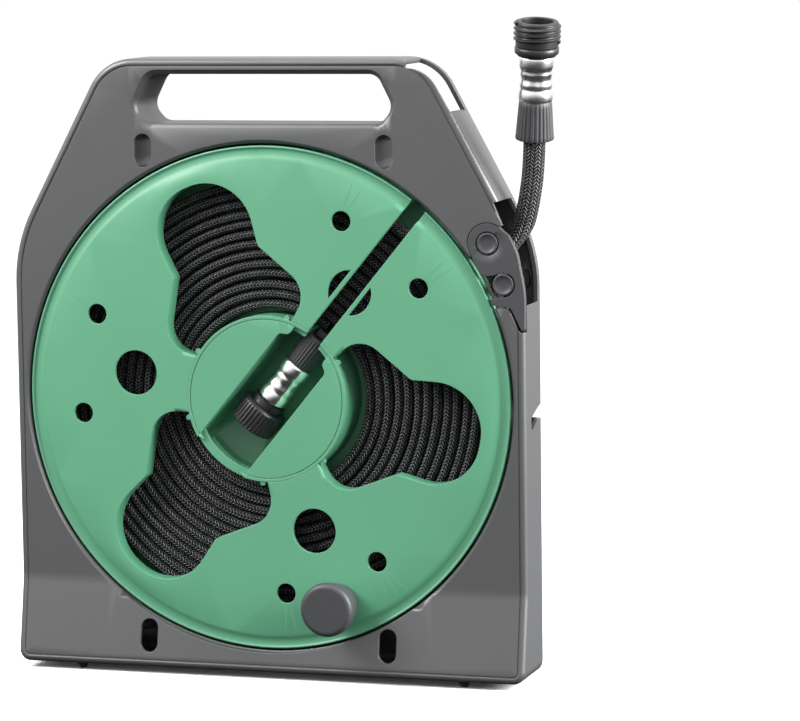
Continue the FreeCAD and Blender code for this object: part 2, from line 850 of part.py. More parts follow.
def make_crank_knob():
    x, z = polar(knob_at, spoke_angle + 240)
    foot = -knob_foot_gap
    front = -knob_reach
    edge = knob_edge_radius
    steps = 8
    profile = [(0, foot), (knob_base_radius - 0.8, foot), (knob_base_radius, foot - 0.8),
               (knob_radius - 1.4, front + 13.0), (knob_radius, front + edge + 2.0)]
    for i in range(1, steps + 1):
        a = math.pi / 2 * i / steps
        profile.append((knob_radius - edge + edge * math.cos(a), front + edge - edge * math.sin(a)))
    profile.append((0, front))
    knob = turned([(r, t) for r, t in profile], vec(x, 0, z), vec(0, 1, 0))
    bore = cylinder(knob_pin_radius + running_gap, front + knob_front_wall, 5, x, z)
    pocket = cylinder(knob_clip_radius + 0.5, front + knob_front_wall, clip_y() + knob_clip_plate + 0.6, x, z)
    return knob.cut([bore, pocket])


# ---- gate, pins and rollers ----

def make_hose_gate():
    x1, z1 = gate_pin_at
    x2, z2 = latch_pin_at
    right = housing_width / 2 - 0.1
    plate = prism([
        (x1 - 10.6, z1 - 2, 0), (x1 - 8.3, 82.0, 1.5), (x1 - 4.8, 75.2, 3), (x1 + 0.4, 72.8, 1.5),
        (x1 + 2.8, 67.0, 0), (x1 + 0.4, 61.4, 1.2), (x1 + 3.2, 56.8, 2.5), (x1 + 13.4, 56.2, 4.5),
        (x1 + 19.8, 42.9, 0.4), (right - 0.2, 43.2, 0.8), (right, 64.0, 60), (x1 + 17.4, 87.0, 25),
        (x1 + 12.4, z1 + 4.8, 3),
        (x1 + 8.2, z1 + 8.0, 0),
    ], panel_y, gate_back_y)
    head = cylinder(gate_head_radius, panel_y, gate_back_y, x1, z1)
    reach = math.hypot(x2 - x1, z2 - z1)
    clear = pin_head_radius + latch_clearance
    # the latch pin's path as the gate opens, which the hook's mouth has to clear
    start = math.degrees(math.atan2(z2 - z1, x2 - x1))
    path = ring(reach + clear - 0.55, reach - clear + 0.55, panel_y - 1, gate_back_y + 1, x1, z1)
    sweep = 70.0
    middle, end = start - sweep / 2, start - sweep
    far = reach * 2
    corners = [(x1, z1, 0)] + [(x1 + far * math.cos(math.radians(a)), z1 + far * math.sin(math.radians(a)), 0)
                               for a in (end, middle, start)]
    mouth = path.common(prism(corners, panel_y - 1, gate_back_y + 1))
    notch = cylinder(clear, panel_y - 1, gate_back_y + 1, x2, z2)
    recess = cylinder(head_recess_radius, panel_y - 1, panel_y + pin_head_plate, x1, z1)
    bore = cylinder(pin_shaft_radius + running_gap, panel_y - 1, gate_back_y + 1, x1, z1)
    gate = plate.fuse(head).cut([mouth, notch, recess, bore])
    return max(gate.Solids, key=lambda s: s.Volume)


def make_pin(place):
    x, z = place
    head = cylinder(pin_head_radius, panel_y - 0.4, panel_y + pin_head_plate - 0.3, x, z)
    dish = Part.makeSphere(14.0, vec(x, panel_y - 0.4 - 13.3, z))
    shaft = cylinder(pin_shaft_radius, panel_y + 1, back_y - 1.3, x, z)
    return head.cut(dish).fuse(shaft)


def make_roller(place):
    x, z = place
    return ring(roller_radius, pin_shaft_radius + running_gap, roller_front, roller_front + roller_length, x, z)


# ---- hose and fittings ----

def make_winding():
    return ring(winding_outer_radius, winding_inner_radius, winding_front_y, winding_back_y)


def strip(path, half, y0, y1):
    """A flat hose of a given half thickness along a front-view path of points."""
    sides = []
    for side in (half, -half):
        row = []
        for i, (x, z) in enumerate(path):
            before = path[max(i - 1, 0)]
            after = path[min(i + 1, len(path) - 1)]
            d = math.hypot(after[0] - before[0], after[1] - before[1])
            nx, nz = -(after[1] - before[1]) / d, (after[0] - before[0]) / d
            row.append((x + nx * side, z + nz * side, 0))
        sides.append(row)
    return prism(sides[0] + sides[1][::-1], y0, y1)


def make_hose_run():
    clear = winding_outer_radius + hose_flat_thickness / 2 + 0.6
    kx, kz = hose_run_knee
    reach = math.hypot(kx, kz)
    start = math.degrees(math.atan2(kz, kx)) - math.degrees(math.acos(clear / reach))
    end_x, _, end_z = free_hose_route[0]
    lean = math.atan2(end_z - kz, end_x - kx)
    path = [polar(clear, start), hose_run_knee, (end_x + math.cos(lean), end_z + math.sin(lean))]
    flat = strip(path, hose_flat_thickness / 2, winding_front_y, winding_back_y)
    return flat.cut(beyond(0, True))


def beyond(number, level):
    """Everything past a point of the free hose's route, square to its next run."""
    first = vec(*free_hose_route[number])
    along = vec(*free_hose_route[number + 1]) - first
    if level:
        along.y = 0
    return turned([(0, 0), (40, 0), (40, 30), (0, 30)], first, along)


def rounded_path(points):
    """Straight runs joined by tangent arcs, each as large as its two runs allow."""
    points = [vec(*p) for p in points]
    edges = []
    here = points[0]
    for i in range(1, len(points) - 1):
        before = points[i - 1] - points[i]
        after = points[i + 1] - points[i]
        half_turn = (math.pi - before.getAngle(after)) / 2
        reach = 0.45 * min(before.Length, after.Length)
        radius = reach / math.tan(half_turn)
        start = points[i] + unit(before) * reach
        end = points[i] + unit(after) * reach
        bisector = unit(unit(before) + unit(after))
        middle = points[i] + bisector * (radius / math.cos(half_turn) - radius)
        edges.append(Part.LineSegment(here, start).toShape())
        edges.append(Part.Arc(start, middle, end).toShape())
        print(f"  hose bend {i}: turn {math.degrees(2 * half_turn):5.1f} deg, radius {radius:6.1f} mm")
        here = end
    edges.append(Part.LineSegment(here, points[-1]).toShape())
    return Part.Wire(edges)


def make_free_hose():
    """The stretch between the rollers stays flat; outside the gate the hose is round."""
    runs = free_hose_flat_runs
    path = rounded_path(free_hose_route[runs:])
    first = vec(*free_hose_route[runs])
    along = vec(*free_hose_route[runs + 1]) - first
    section = Part.Wire(Part.makeCircle(hose_round_diameter / 2, first, along))
    tube = path.makePipeShell([section], True, True)
    expected = math.pi * (hose_round_diameter / 2) ** 2 * path.Length
    print(f"  free hose {path.Length:.1f} mm round, volume {tube.Volume:.0f} of {expected:.0f} mm3")
    flat_path = [(x, z) for x, _, z in free_hose_route[:runs + 1]]
    lean = math.atan2(flat_path[-1][1] - flat_path[-2][1], flat_path[-1][0] - flat_path[-2][0])
    flat_path[-1] = (flat_path[-1][0] + 3 * math.cos(lean), flat_path[-1][1] + 3 * math.sin(lean))
    middle_y = free_hose_route[1][1]
    flat = strip(flat_path, hose_flat_thickness / 2, middle_y - free_hose_flat_width / 2,
                 middle_y + free_hose_flat_width / 2)
    return flat.cut(beyond(runs, False)).fuse(tube)


def end_axis():
    last = vec(*free_hose_route[-1])
    return last, unit(last - vec(*free_hose_route[-2]))


def make_end_collar():
    base, axis = end_axis()
    wide, narrow = end_collar_radii
    return ribbed(wide, 0.6, 26, base, axis, end_collar_length, narrow / wide)


def ferrule_profile(length, radius):
    waist = radius - 1.1
    return [(0, 0), (radius - 0.5, 0), (radius, 0.6), (radius, length * 0.2), (waist, length * 0.34),
            (waist, length * 0.62), (radius, length * 0.78), (radius, length - 0.6), (radius - 0.5, length),
            (0, length)]


def make_end_ferrule():
    base, axis = end_axis()
    return turned(ferrule_profile(ferrule_length, ferrule_radius), base + axis * end_collar_length, axis)


def make_end_fitting():
    base, axis = end_axis()
    start = base + axis * (end_collar_length + ferrule_length)
    flange = fitting_flange_length
    total = flange + thread_length
    profile = [(water_bore, 0), (fitting_flange_radius - 1.2, 0), (fitting_flange_radius, 1.2),
               (fitting_flange_radius, flange - 0.8), (fitting_flange_radius - 1.0, flange),
               (thread_radius - 1.8, flange), (thread_radius - 1.8, flange + 1.6), (thread_radius, flange + 1.6),
               (thread_radius, total), (water_bore + 2.6, total), (water_bore + 2.6, flange + 3.0),
               (water_bore, flange + 3.0)]
    return turned(profile, start, axis)


def inner_point(along):
    x, z = polar(1.0, spoke_angle)
    return vec(x * along, inner_axis_depth, z * along), vec(x, 0, z)


def make_swivel_nut():
    base, axis = inner_point(nut_start)
    body = ribbed(nut_radius, nut_rib_depth, 34, base, axis, nut_length)
    thread = Part.makeCylinder(nut_bore, nut_thread_depth + 1, base - axis, axis)
    relief = Part.makeCylinder(nut_relief, nut_socket_depth - nut_thread_depth, base + axis * nut_thread_depth, axis)
    back = Part.makeCylinder(stem_radius + running_gap, nut_length + 2, base - axis, axis)
    return body.cut([thread, relief, back])


def make_nut_washer():
    base, axis = inner_point(nut_start + nut_socket_depth - 2.6)
    washer = Part.makeCylinder(nut_bore - 0.4, 2.0, base, axis)
    return washer.cut(Part.makeCylinder(water_bore - 1.0, 4, base - axis, axis))


def make_inner_stem():
    """The barbed tail piece: a flange inside the nut, a neck, and the ring outside it."""
    base, axis = inner_point(nut_start + nut_socket_depth - 0.4)
    inside = nut_length - nut_socket_depth + 0.4
    profile = [(4.2, -0.2), (nut_bore - 0.5, -0.2), (nut_bore - 0.5, 0.1), (stem_radius, 0.1),
               (stem_radius, inside + 0.3), (inner_ring_radius, inside + 0.3),
               (inner_ring_radius, inside + inner_ring_length), (inner_ferrule_radius - 1.6, inside + inner_ring_length),
               (inner_ferrule_radius - 1.6, inside + inner_ring_length + 0.4), (4.2, inside + inner_ring_length + 0.4)]
    return turned(profile, base, axis)


def inner_ferrule_start():
    return nut_start + nut_length + inner_ring_length + 0.4


def make_inner_ferrule():
    base, axis = inner_point(inner_ferrule_start())
    return turned(ferrule_profile(inner_ferrule_length, inner_ferrule_radius), base, axis)


def make_inner_collar():
    base, axis = inner_point(inner_ferrule_start() + inner_ferrule_length)
    narrow, wide = inner_collar_radii
    length = hub_radius - hub_wall - 0.4 - inner_ferrule_start() - inner_ferrule_length
    return ribbed(narrow, 0.5, 26, base, axis, min(length, inner_collar_length), wide / narrow)


def make_inner_hose():
    start = hub_radius - hub_wall - 0.4
    end = winding_inner_radius - 0.2
    half = hose_flat_thickness / 2
    bar = Part.makeBox(end - start, hose_flat_width - 4, 2 * half, vec(start, winding_front_y, -half))
    return spun(bar, spoke_angle)


pieces = {
    "front_shell": make_front_shell,
    "rear_shell": make_rear_shell,
    "shell_screws": make_shell_screws,
    "feet": make_feet,
    "reel_front_flange": make_front_flange,
    "reel_rear_flange": make_rear_flange,
    "reel_hub": make_hub,
    "flange_screws": make_flange_screws,
    "axle_bush": make_axle_bush,
    "axle_washer": make_axle_washer,
    "axle_screw": make_axle_screw,
    "crank_knob": make_crank_knob,
    "knob_pin": make_knob_pin,
    "knob_clip": make_knob_clip,
    "hose_gate": make_hose_gate,
    "gate_pin": lambda: make_pin(gate_pin_at),
    "latch_pin": lambda: make_pin(latch_pin_at),
    "guide_roller_upper": lambda: make_roller(gate_pin_at),
    "guide_roller_lower": lambda: make_roller(latch_pin_at),
    "hose_winding": make_winding,
    "hose_run": make_hose_run,
    "free_hose": make_free_hose,
    "end_collar": make_end_collar,
    "end_ferrule": make_end_ferrule,
    "end_fitting": make_end_fitting,
    "swivel_nut": make_swivel_nut,
    "nut_washer": make_nut_washer,
    "inner_stem": make_inner_stem,
    "inner_ferrule": make_inner_ferrule,
    "inner_collar": make_inner_collar,
    "inner_hose": make_inner_hose,
}

os.makedirs("parts", exist_ok=True)
for node, make in pieces.items():
    save(node, make())
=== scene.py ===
import bpy
import math

from mathutils import Matrix, Vector


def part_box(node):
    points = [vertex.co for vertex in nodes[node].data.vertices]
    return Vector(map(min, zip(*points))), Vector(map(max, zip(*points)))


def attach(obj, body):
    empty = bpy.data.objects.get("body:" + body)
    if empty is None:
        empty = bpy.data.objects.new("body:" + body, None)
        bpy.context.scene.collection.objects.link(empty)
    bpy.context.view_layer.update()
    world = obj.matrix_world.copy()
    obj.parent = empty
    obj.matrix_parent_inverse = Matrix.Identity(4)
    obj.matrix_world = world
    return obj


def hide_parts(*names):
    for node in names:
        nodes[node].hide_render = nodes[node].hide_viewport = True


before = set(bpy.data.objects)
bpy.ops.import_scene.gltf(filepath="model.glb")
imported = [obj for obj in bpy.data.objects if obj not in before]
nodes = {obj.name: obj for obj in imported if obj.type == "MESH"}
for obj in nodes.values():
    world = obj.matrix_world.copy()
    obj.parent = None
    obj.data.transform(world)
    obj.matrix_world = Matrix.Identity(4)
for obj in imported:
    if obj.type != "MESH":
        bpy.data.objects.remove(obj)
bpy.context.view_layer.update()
bpy.ops.object.select_all(action="DESELECT")

# the reel's axis and front face, read from the frame, carry every other place
reelLow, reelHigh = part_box("reel_front_flange")
axisX = (reelLow.x + reelHigh.x) / 2
axisZ = (reelLow.z + reelHigh.z) / 2
faceY = reelLow.y
spokeAngle = math.radians(50.4)
mm = 0.001


def at(x, y, z):
    return Vector((axisX + x * mm, faceY + y * mm, axisZ + z * mm))


def alongSpoke(u, y):
    return at(u * math.cos(spokeAngle), y, u * math.sin(spokeAngle))


# the camera, the lamps and a floor

view = {
    "place": (712.8, -2018.1, 277.3),  # mm from the middle of the reel's face
    "yaw": -0.303,
    "pitch": -0.119,
    "roll": -0.013,
    "lens": 167.4,
    "sensor": 36,
}


def addCamera():
    bpy.ops.object.camera_add(location=at(*view["place"]))
    camera = bpy.context.object
    camera.name = "frontCamera"
    yaw, pitch, roll = view["yaw"], view["pitch"], view["roll"]
    forward = Vector((math.sin(yaw) * math.cos(pitch), math.cos(yaw) * math.cos(pitch), math.sin(pitch)))
    level = Vector((math.cos(yaw), -math.sin(yaw), 0))
    upright = level.cross(forward)
    right = level * math.cos(roll) + upright * math.sin(roll)
    up = upright * math.cos(roll) - level * math.sin(roll)
    camera.rotation_euler = Matrix((right, up, -forward)).transposed().to_euler()
    camera.data.lens = view["lens"]
    camera.data.sensor_width = view["sensor"]
    camera.data.clip_end = 100
    bpy.context.scene.camera = camera


studio = {
    "floorSize": 80.0,
    "floorColour": (0.96, 0.96, 0.96, 1),
    "floorRoughness": 0.85,
    "skyBright": 1.05,
    "skyDark": 0.03,
    "skyFrom": -0.3,
    "skyTo": 0.1,
    "lampsAimAt": (0, 20, 0),
    "lamps": (  # name, place in m, size in m, watts
        ("keyLamp", (-0.95, -0.75, 1.15), 0.7, 32.0),
        ("sideLamp", (1.7, 0.0, 0.8), 1.0, 105.0),
        ("topLamp", (0.0, 0.25, 1.9), 0.9, 10.0),
    ),
}


def addStudio():
    bpy.ops.mesh.primitive_plane_add(size=studio["floorSize"], location=(0, 0, 0))
    floor = bpy.context.object
    floor.name = "studioFloor"
    paint = bpy.data.materials.new("floorPaint")
    paint.use_nodes = True
    shader = paint.node_tree.nodes["Principled BSDF"]
    shader.inputs["Base Color"].default_value = studio["floorColour"]
    shader.inputs["Roughness"].default_value = studio["floorRoughness"]
    floor.data.materials.append(paint)
    floor.visible_diffuse = False
    floor.visible_glossy = False
    for name, place, size, watts in studio["lamps"]:
        bpy.ops.object.light_add(type="AREA", location=place)
        lamp = bpy.context.object
        lamp.name = name
        lamp.data.shape = "SQUARE"
        lamp.data.size = size
        lamp.data.energy = watts
        lamp.rotation_euler = (at(*studio["lampsAimAt"]) - lamp.location).to_track_quat("-Z", "Y").to_euler()
    # bright overhead, darker below the horizon
    world = bpy.data.worlds.new("studioAir")
    world.use_nodes = True
    tree = world.node_tree
    sky = tree.nodes["Background"]
    sky.inputs["Color"].default_value = (1, 1, 1, 1)
    directions = tree.nodes.new("ShaderNodeTexCoord")
    split = tree.nodes.new("ShaderNodeSeparateXYZ")
    tree.links.new(directions.outputs["Generated"], split.inputs[0])
    level = tree.nodes.new("ShaderNodeMapRange")
    level.interpolation_type = "SMOOTHSTEP"
    tree.links.new(split.outputs["Z"], level.inputs["Value"])
    for label, key in (("From Min", "skyFrom"), ("From Max", "skyTo"), ("To Min", "skyDark"), ("To Max", "skyBright")):
        level.inputs[label].default_value = studio[key]
    tree.links.new(level.outputs["Result"], sky.inputs["Strength"])
    bpy.context.scene.world = world
    bpy.context.scene.view_settings.view_transform = "Standard"


addCamera()
addStudio()
print("camera, floor and lamps are in place")


# small helpers for selecting, editing and smoothing one piece

def pick(piece):
    bpy.ops.object.select_all(action="DESELECT")
    piece.select_set(True)
    bpy.context.view_layer.objects.active = piece


def edit():
    bpy.ops.object.mode_set(mode="EDIT")


def done():
    bpy.ops.object.mode_set(mode="OBJECT")


def makeSmooth(piece, degrees):
    pick(piece)
    bpy.ops.object.shade_smooth_by_angle(angle=math.radians(degrees))
    piece.select_set(False)


# shader effects that several finishes share

def addGroup(name, inputs, outputs):
    group = bpy.data.node_groups.new(name, "ShaderNodeTree")
    for label, kind, value in inputs:
        socket = group.interface.new_socket(label, in_out="INPUT", socket_type=kind)
        if value is not None:
            socket.default_value = value
    for label, kind in outputs:
        group.interface.new_socket(label, in_out="OUTPUT", socket_type=kind)
    return group, group.nodes.new("NodeGroupInput"), group.nodes.new("NodeGroupOutput")


def mathNode(tree, operation, first, second=None, third=None, clamp=False):
    node = tree.nodes.new("ShaderNodeMath")
    node.operation = operation
    node.use_clamp = clamp
    for i, value in enumerate((first, second, third)):
        if value is None:
            continue
        if isinstance(value, (int, float)):
            node.inputs[i].default_value = value
        else:
            tree.links.new(value, node.inputs[i])
    return node.outputs[0]


def mixColours(tree, factor, first, second):
    node = tree.nodes.new("ShaderNodeMix")
    node.data_type = "RGBA"
    for label, value in (("Factor", factor), ("A", first), ("B", second)):
        tree.links.new(value, node.inputs[label])
    return node.outputs["Result"]


grainEffect = {
    "grainDetail": 3,
    "cloudScale": 14,
    "cloudDetail": 4,
    "cloudBase": 0.92,
    "cloudAmount": 0.16,
    "edgeSamples": 4,
    "edgeHighlightGain": 4.0,
    "roughAmount": 0.14,
}


def makeGrainGroup():
    # moulded plastic: spark-eroded grain, slow cloudiness and a painted highlight that turns the colour paler along
    # edges
    group, source, sink = addGroup(
        "mouldedGrain",
        (("Vector", "NodeSocketVector", None), ("Tone", "NodeSocketColor", (0.5, 0.5, 0.5, 1)),
         ("Edge Highlight Tone", "NodeSocketColor", (0.7, 0.7, 0.7, 1)), ("Grain Scale", "NodeSocketFloat", 1500.0),
         ("Grain Depth", "NodeSocketFloat", 0.00004), ("Gloss", "NodeSocketFloat", 0.5),
         ("Edge Width", "NodeSocketFloat", 0.0006), ("Edge Highlight Amount", "NodeSocketFloat", 0.5)),
        (("Colour", "NodeSocketColor"), ("Roughness", "NodeSocketFloat"), ("Normal", "NodeSocketVector")))
    grain = group.nodes.new("ShaderNodeTexNoise")
    grain.inputs["Detail"].default_value = grainEffect["grainDetail"]
    group.links.new(source.outputs["Vector"], grain.inputs["Vector"])
    group.links.new(source.outputs["Grain Scale"], grain.inputs["Scale"])
    cloud = group.nodes.new("ShaderNodeTexNoise")
    cloud.inputs["Scale"].default_value = grainEffect["cloudScale"]
    cloud.inputs["Detail"].default_value = grainEffect["cloudDetail"]
    group.links.new(source.outputs["Vector"], cloud.inputs["Vector"])
    rounded = group.nodes.new("ShaderNodeBevel")
    rounded.samples = grainEffect["edgeSamples"]
    group.links.new(source.outputs["Edge Width"], rounded.inputs["Radius"])
    surface = group.nodes.new("ShaderNodeNewGeometry")
    likeness = group.nodes.new("ShaderNodeVectorMath")
    likeness.operation = "DOT_PRODUCT"
    group.links.new(rounded.outputs["Normal"], likeness.inputs[0])
    group.links.new(surface.outputs["Normal"], likeness.inputs[1])
    # painted highlight: the colour turns toward the paler edge colour where the bevel-rounded normal leans away from
    # the true one, along edges
    edge = mathNode(group, "SUBTRACT", 1.0, likeness.outputs["Value"], clamp=True)
    edge = mathNode(group, "MULTIPLY", edge, grainEffect["edgeHighlightGain"], clamp=True)
    edge = mathNode(group, "MULTIPLY", edge, source.outputs["Edge Highlight Amount"], clamp=True)
    shade = mathNode(group, "MULTIPLY_ADD", cloud.outputs["Fac"], grainEffect["cloudAmount"], grainEffect["cloudBase"])
    toned = group.nodes.new("ShaderNodeVectorMath")
    toned.operation = "SCALE"
    group.links.new(source.outputs["Tone"], toned.inputs[0])
    group.links.new(shade, toned.inputs["Scale"])
    colour = mixColours(group, edge, toned.outputs["Vector"], source.outputs["Edge Highlight Tone"])
    rough = mathNode(group, "MULTIPLY_ADD", grain.outputs["Fac"], grainEffect["roughAmount"], source.outputs["Gloss"])
    bump = group.nodes.new("ShaderNodeBump")
    group.links.new(grain.outputs["Fac"], bump.inputs["Height"])
    group.links.new(source.outputs["Grain Depth"], bump.inputs["Distance"])
    group.links.new(rounded.outputs["Normal"], bump.inputs["Normal"])
    group.links.new(colour, sink.inputs["Colour"])
    group.links.new(rough, sink.inputs["Roughness"])
    group.links.new(bump.outputs["Normal"], sink.inputs["Normal"])
    return group


braidEffect = {
    "slant": 1.15,
    "borderPower": 3.0,
    "borderDepth": 0.85,
    "crestHighlightFrom": 0.3,
    "crestHighlightGain": 1.9,
    "crestHighlightEvenness": 0.5,
    "grooveRoughness": 0.8,
    "crestPolish": -0.25,
}


def makeBraidGroup():
    # woven sleeve: U counts strands along the hose, V counts chevrons round it
    group, source, sink = addGroup(
        "braidedSleeve",
        (("Vector", "NodeSocketVector", None), ("Dark", "NodeSocketColor", (0.01, 0.01, 0.011, 1)),
         ("Light", "NodeSocketColor", (0.16, 0.16, 0.17, 1)), ("Depth", "NodeSocketFloat", 0.0005)),
        (("Colour", "NodeSocketColor"), ("Roughness", "NodeSocketFloat"), ("Normal", "NodeSocketVector")))
    split = group.nodes.new("ShaderNodeSeparateXYZ")
    group.links.new(source.outputs["Vector"], split.inputs[0])
    column = mathNode(group, "FRACT", split.outputs["Y"])
    slant = mathNode(group, "ABSOLUTE", mathNode(group, "SUBTRACT", column, 0.5))
    slant = mathNode(group, "MULTIPLY", slant, 2.0)
    strand = mathNode(group, "ADD", split.outputs["X"], mathNode(group, "MULTIPLY", slant, braidEffect["slant"]))
    wave = mathNode(group, "SINE", mathNode(group, "MULTIPLY", strand, 2 * math.pi))
    crest = mathNode(group, "MULTIPLY_ADD", wave, 0.5, 0.5)
    border = mathNode(group, "ABSOLUTE", mathNode(group, "SUBTRACT", slant, 0.5))
    border = mathNode(group, "POWER", mathNode(group, "MULTIPLY", border, 2.0), braidEffect["borderPower"])
    between = mathNode(group, "SUBTRACT", 1.0, mathNode(group, "MULTIPLY", border, braidEffect["borderDepth"]))
    height = mathNode(group, "MULTIPLY", crest, between)
    cell = group.nodes.new("ShaderNodeCombineXYZ")
    group.links.new(mathNode(group, "FLOOR", mathNode(group, "ADD", strand, 0.25)), cell.inputs["X"])
    group.links.new(mathNode(group, "FLOOR", mathNode(group, "MULTIPLY", split.outputs["Y"], 2.0)), cell.inputs["Y"])
    chance = group.nodes.new("ShaderNodeTexWhiteNoise")
    chance.noise_dimensions = "2D"
    group.links.new(cell.outputs[0], chance.inputs["Vector"])
    # painted highlight: strands are coloured lighter where the weave is high, at their crests; the random spread per
    # cell is the yarn's own varying tone
    crestHighlight = mathNode(group, "SUBTRACT", height, braidEffect["crestHighlightFrom"])
    crestHighlight = mathNode(group, "MULTIPLY", crestHighlight, braidEffect["crestHighlightGain"], clamp=True)
    evenness = braidEffect["crestHighlightEvenness"]
    lively = mathNode(group, "MULTIPLY_ADD", chance.outputs["Value"], 1 - evenness, evenness)
    crestHighlight = mathNode(group, "MULTIPLY", crestHighlight, lively, clamp=True)
    colour = mixColours(group, crestHighlight, source.outputs["Dark"], source.outputs["Light"])
    rough = mathNode(group, "MULTIPLY_ADD", crestHighlight, braidEffect["crestPolish"], braidEffect["grooveRoughness"])
    bump = group.nodes.new("ShaderNodeBump")
    group.links.new(height, bump.inputs["Height"])
    group.links.new(source.outputs["Depth"], bump.inputs["Distance"])
    group.links.new(colour, sink.inputs["Colour"])
    group.links.new(rough, sink.inputs["Roughness"])
    group.links.new(bump.outputs["Normal"], sink.inputs["Normal"])
    return group


grainGroup = makeGrainGroup()
braidGroup = makeBraidGroup()


def newFinish(name):
    finish = bpy.data.materials.new(name)
    finish.use_nodes = True
    return finish, finish.node_tree, finish.node_tree.nodes["Principled BSDF"]


def plasticFinish(name, look):
    finish, tree, shader = newFinish(name)
    places = tree.nodes.new("ShaderNodeTexCoord")
    grain = tree.nodes.new("ShaderNodeGroup")
    grain.node_tree = grainGroup
    tree.links.new(places.outputs["Object"], grain.inputs["Vector"])
    for label in ("Tone", "Edge Highlight Tone", "Grain Scale", "Grain Depth", "Gloss", "Edge Width", "Edge Highlight Amount"):
        grain.inputs[label].default_value = look[label]
    tree.links.new(grain.outputs["Colour"], shader.inputs["Base Color"])
    tree.links.new(grain.outputs["Roughness"], shader.inputs["Roughness"])
    tree.links.new(grain.outputs["Normal"], shader.inputs["Normal"])
    shader.inputs["IOR"].default_value = 1.5
    shader.inputs["Specular IOR Level"].default_value = look["shine"]
    return finish


# each look's paler edge colour is a painted highlight that the grain group lays along edges
plasticLooks = {
    "housingPlastic": {
        "Tone": (0.058, 0.059, 0.061, 1), "Edge Highlight Tone": (0.15, 0.15, 0.155, 1),
        "Grain Scale": 1700.0, "Grain Depth": 0.00006, "Edge Width": 0.0006, "Edge Highlight Amount": 0.35,
        "Gloss": 0.34, "shine": 0.85,
    },
    "trimPlastic": {
        "Tone": (0.042, 0.043, 0.046, 1), "Edge Highlight Tone": (0.12, 0.12, 0.125, 1),
        "Grain Scale": 1900.0, "Grain Depth": 0.00007, "Edge Width": 0.0005, "Edge Highlight Amount": 0.4,
        "Gloss": 0.42, "shine": 0.5,
    },
    "reelPlastic": {
        "Tone": (0.088, 0.3, 0.172, 1), "Edge Highlight Tone": (0.26, 0.52, 0.38, 1),
        "Grain Scale": 1100.0, "Grain Depth": 0.00003, "Edge Width": 0.0005, "Edge Highlight Amount": 0.55,
        "Gloss": 0.36, "shine": 0.65,
    },
    "gatePlastic": {
        "Tone": (0.045, 0.046, 0.049, 1), "Edge Highlight Tone": (0.13, 0.13, 0.135, 1),
        "Grain Scale": 1700.0, "Grain Depth": 0.00006, "Edge Width": 0.0005, "Edge Highlight Amount": 0.4,
        "Gloss": 0.36, "shine": 0.6,
    },
    "blackPlastic": {
        "Tone": (0.016, 0.016, 0.017, 1), "Edge Highlight Tone": (0.06, 0.06, 0.062, 1),
        "Grain Scale": 1500.0, "Grain Depth": 0.00003, "Edge Width": 0.0003, "Edge Highlight Amount": 0.4,
        "Gloss": 0.3, "shine": 0.5,
    },
    "softRubber": {
        "Tone": (0.02, 0.02, 0.02, 1), "Edge Highlight Tone": (0.05, 0.05, 0.05, 1),
        "Grain Scale": 900.0, "Grain Depth": 0.00005, "Edge Width": 0.0003, "Edge Highlight Amount": 0.3,
        "Gloss": 0.7, "shine": 0.3,
    },
}
finishes = {name: plasticFinish(name, look) for name, look in plasticLooks.items()}

metalGrain = {"scale": 260, "detail": 5, "depth": 0.00004}
metalLooks = {
    "ferruleChrome": {"colour": (0.95, 0.95, 0.96, 1), "gloss": 0.2, "scratch": 0.1},
    "zincSteel": {"colour": (0.5, 0.51, 0.53, 1), "gloss": 0.28, "scratch": 0.2},
}


def metalFinish(name, look):
    finish, tree, shader = newFinish(name)
    places = tree.nodes.new("ShaderNodeTexCoord")
    smear = tree.nodes.new("ShaderNodeTexNoise")
    smear.inputs["Scale"].default_value = metalGrain["scale"]
    smear.inputs["Detail"].default_value = metalGrain["detail"]
    tree.links.new(places.outputs["Object"], smear.inputs["Vector"])
    rough = mathNode(tree, "MULTIPLY_ADD", smear.outputs["Fac"], look["scratch"], look["gloss"])
    tree.links.new(rough, shader.inputs["Roughness"])
    bump = tree.nodes.new("ShaderNodeBump")
    bump.inputs["Distance"].default_value = metalGrain["depth"]
    tree.links.new(smear.outputs["Fac"], bump.inputs["Height"])
    tree.links.new(bump.outputs["Normal"], shader.inputs["Normal"])
    shader.inputs["Base Color"].default_value = look["colour"]
    shader.inputs["Metallic"].default_value = 1.0
    return finish


for metalName, metalLook in metalLooks.items():
    finishes[metalName] = metalFinish(metalName, metalLook)

# the light colour is laid on the strand crests as a painted highlight
sleeve = {
    "dark": (0.007, 0.007, 0.008, 1),
    "light": (0.24, 0.24, 0.25, 1),
    "depth": 0.0012,
    "shine": 0.2,
    "strandPitch": 2.1,
    "chevrons": 9,
}


def braidFinish():
    finish, tree, shader = newFinish("hoseBraid")
    places = tree.nodes.new("ShaderNodeUVMap")
    places.uv_map = "braidMap"
    weave = tree.nodes.new("ShaderNodeGroup")
    weave.node_tree = braidGroup
    weave.inputs["Dark"].default_value = sleeve["dark"]
    weave.inputs["Light"].default_value = sleeve["light"]
    weave.inputs["Depth"].default_value = sleeve["depth"]
    tree.links.new(places.outputs["UV"], weave.inputs["Vector"])
    tree.links.new(weave.outputs["Colour"], shader.inputs["Base Color"])
    tree.links.new(weave.outputs["Roughness"], shader.inputs["Roughness"])
    tree.links.new(weave.outputs["Normal"], shader.inputs["Normal"])
    shader.inputs["Specular IOR Level"].default_value = sleeve["shine"]
    return finish


finishes["hoseBraid"] = braidFinish()
print("finishes are ready")


# the hose is one woven tube, flat on the reel and round at its free end

hose = {
    "flatWidth": 18.5,
    "flatThickness": 5.6,
    "roundDiameter": 12.6,
    "sides": 28,
    "squareness": 1.2,
    "smoothAngle": 60,
    "across": (0, 1, 0),  # the way its flat width lies
}


